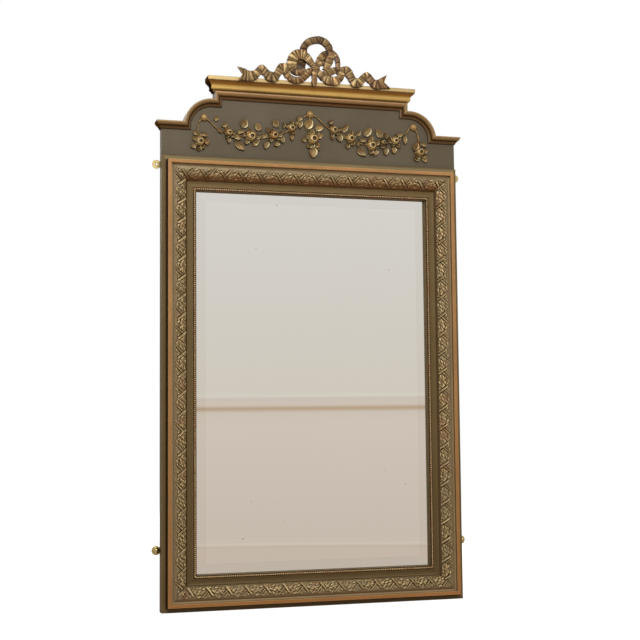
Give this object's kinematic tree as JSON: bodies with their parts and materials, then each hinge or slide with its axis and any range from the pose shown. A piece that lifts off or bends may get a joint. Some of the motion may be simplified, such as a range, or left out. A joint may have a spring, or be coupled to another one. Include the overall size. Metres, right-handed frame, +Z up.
{
  "type": "wall mirror",
  "caption": "Tall rectangular wall mirror in a mitred, ornamented frame with pearl edge, bevelled plate, stepped crest, gilt cornice, flower garlands and a ribbon bow on top.",
  "frame": {"origin": "centre of the four wall holes, in the plane of the wall", "axes": "+X to the right as seen from the front, -Y out from the wall towards the viewer, +Z up"},
  "size_m": [0.846, 0.054, 1.49],
  "materials": {
    "frame_paint": "aged olive and copper-bronze paint with wear",
    "crest_paint": "aged olive-taupe paint",
    "relief_bronze": "bronze-gilt composition with dark hollows",
    "pearl_gilt": "worn gilt on gesso",
    "cornice_gilt": "worn gilt on gesso",
    "bow_gilt": "bronze-gilt carved wood",
    "garland_gilt": "bronze-gilt carved wood",
    "mirror": "silvered glass with a wide bevel",
    "raw_pine": "bare aged softwood",
    "brass": "polished, slightly worn",
    "steel": "dull bare steel"
  },
  "bodies": {
    "root": {"frame_stile_left": "frame_paint", "frame_stile_right": "frame_paint", "frame_rail_top": "frame_paint", "frame_rail_bottom": "frame_paint", "mitre_keys": "raw_pine", "ornament_left": "relief_bronze", "ornament_right": "relief_bronze", "ornament_top": "relief_bronze", "ornament_bottom": "relief_bronze", "pearls_left": "pearl_gilt", "pearls_right": "pearl_gilt", "pearls_top": "pearl_gilt", "pearls_bottom": "pearl_gilt", "mirror_plate": "mirror", "glass_wedges": "raw_pine", "backboard_1": "raw_pine", "backboard_2": "raw_pine", "backboard_3": "raw_pine", "backboard_4": "raw_pine", "backboard_nails": "steel", "crest_board": "crest_paint", "shoulder_moulding_left": "crest_paint", "shoulder_moulding_right": "crest_paint", "shoulder_return_left": "crest_paint", "shoulder_return_right": "crest_paint", "sweep_moulding_left": "crest_paint", "sweep_moulding_right": "crest_paint", "sweep_end_left": "crest_paint", "sweep_end_right": "crest_paint", "riser_moulding_left": "crest_paint", "riser_moulding_right": "crest_paint", "centre_moulding": "crest_paint", "cornice_front": "cornice_gilt", "cornice_return_left": "cornice_gilt", "cornice_return_right": "cornice_gilt", "crest_batten_left": "raw_pine", "crest_batten_right": "raw_pine", "batten_screws": "steel", "ribbon_bow": "bow_gilt", "bow_knot": "bow_gilt", "ribbon_tail_left": "bow_gilt", "ribbon_tail_right": "bow_gilt", "bow_dowels": "raw_pine", "boss_left": "garland_gilt", "boss_centre": "garland_gilt", "boss_right": "garland_gilt", "garland_left": "garland_gilt", "garland_right": "garland_gilt", "drop_left": "garland_gilt", "drop_right": "garland_gilt", "centre_spray": "garland_gilt", "fixing_plate_top_left": "brass", "fixing_plate_top_right": "brass", "fixing_plate_low_left": "brass", "fixing_plate_low_right": "brass", "plate_screws": "steel", "dome_cover_left": "brass", "dome_cover_right": "brass"}
  },
  "joints": []
}
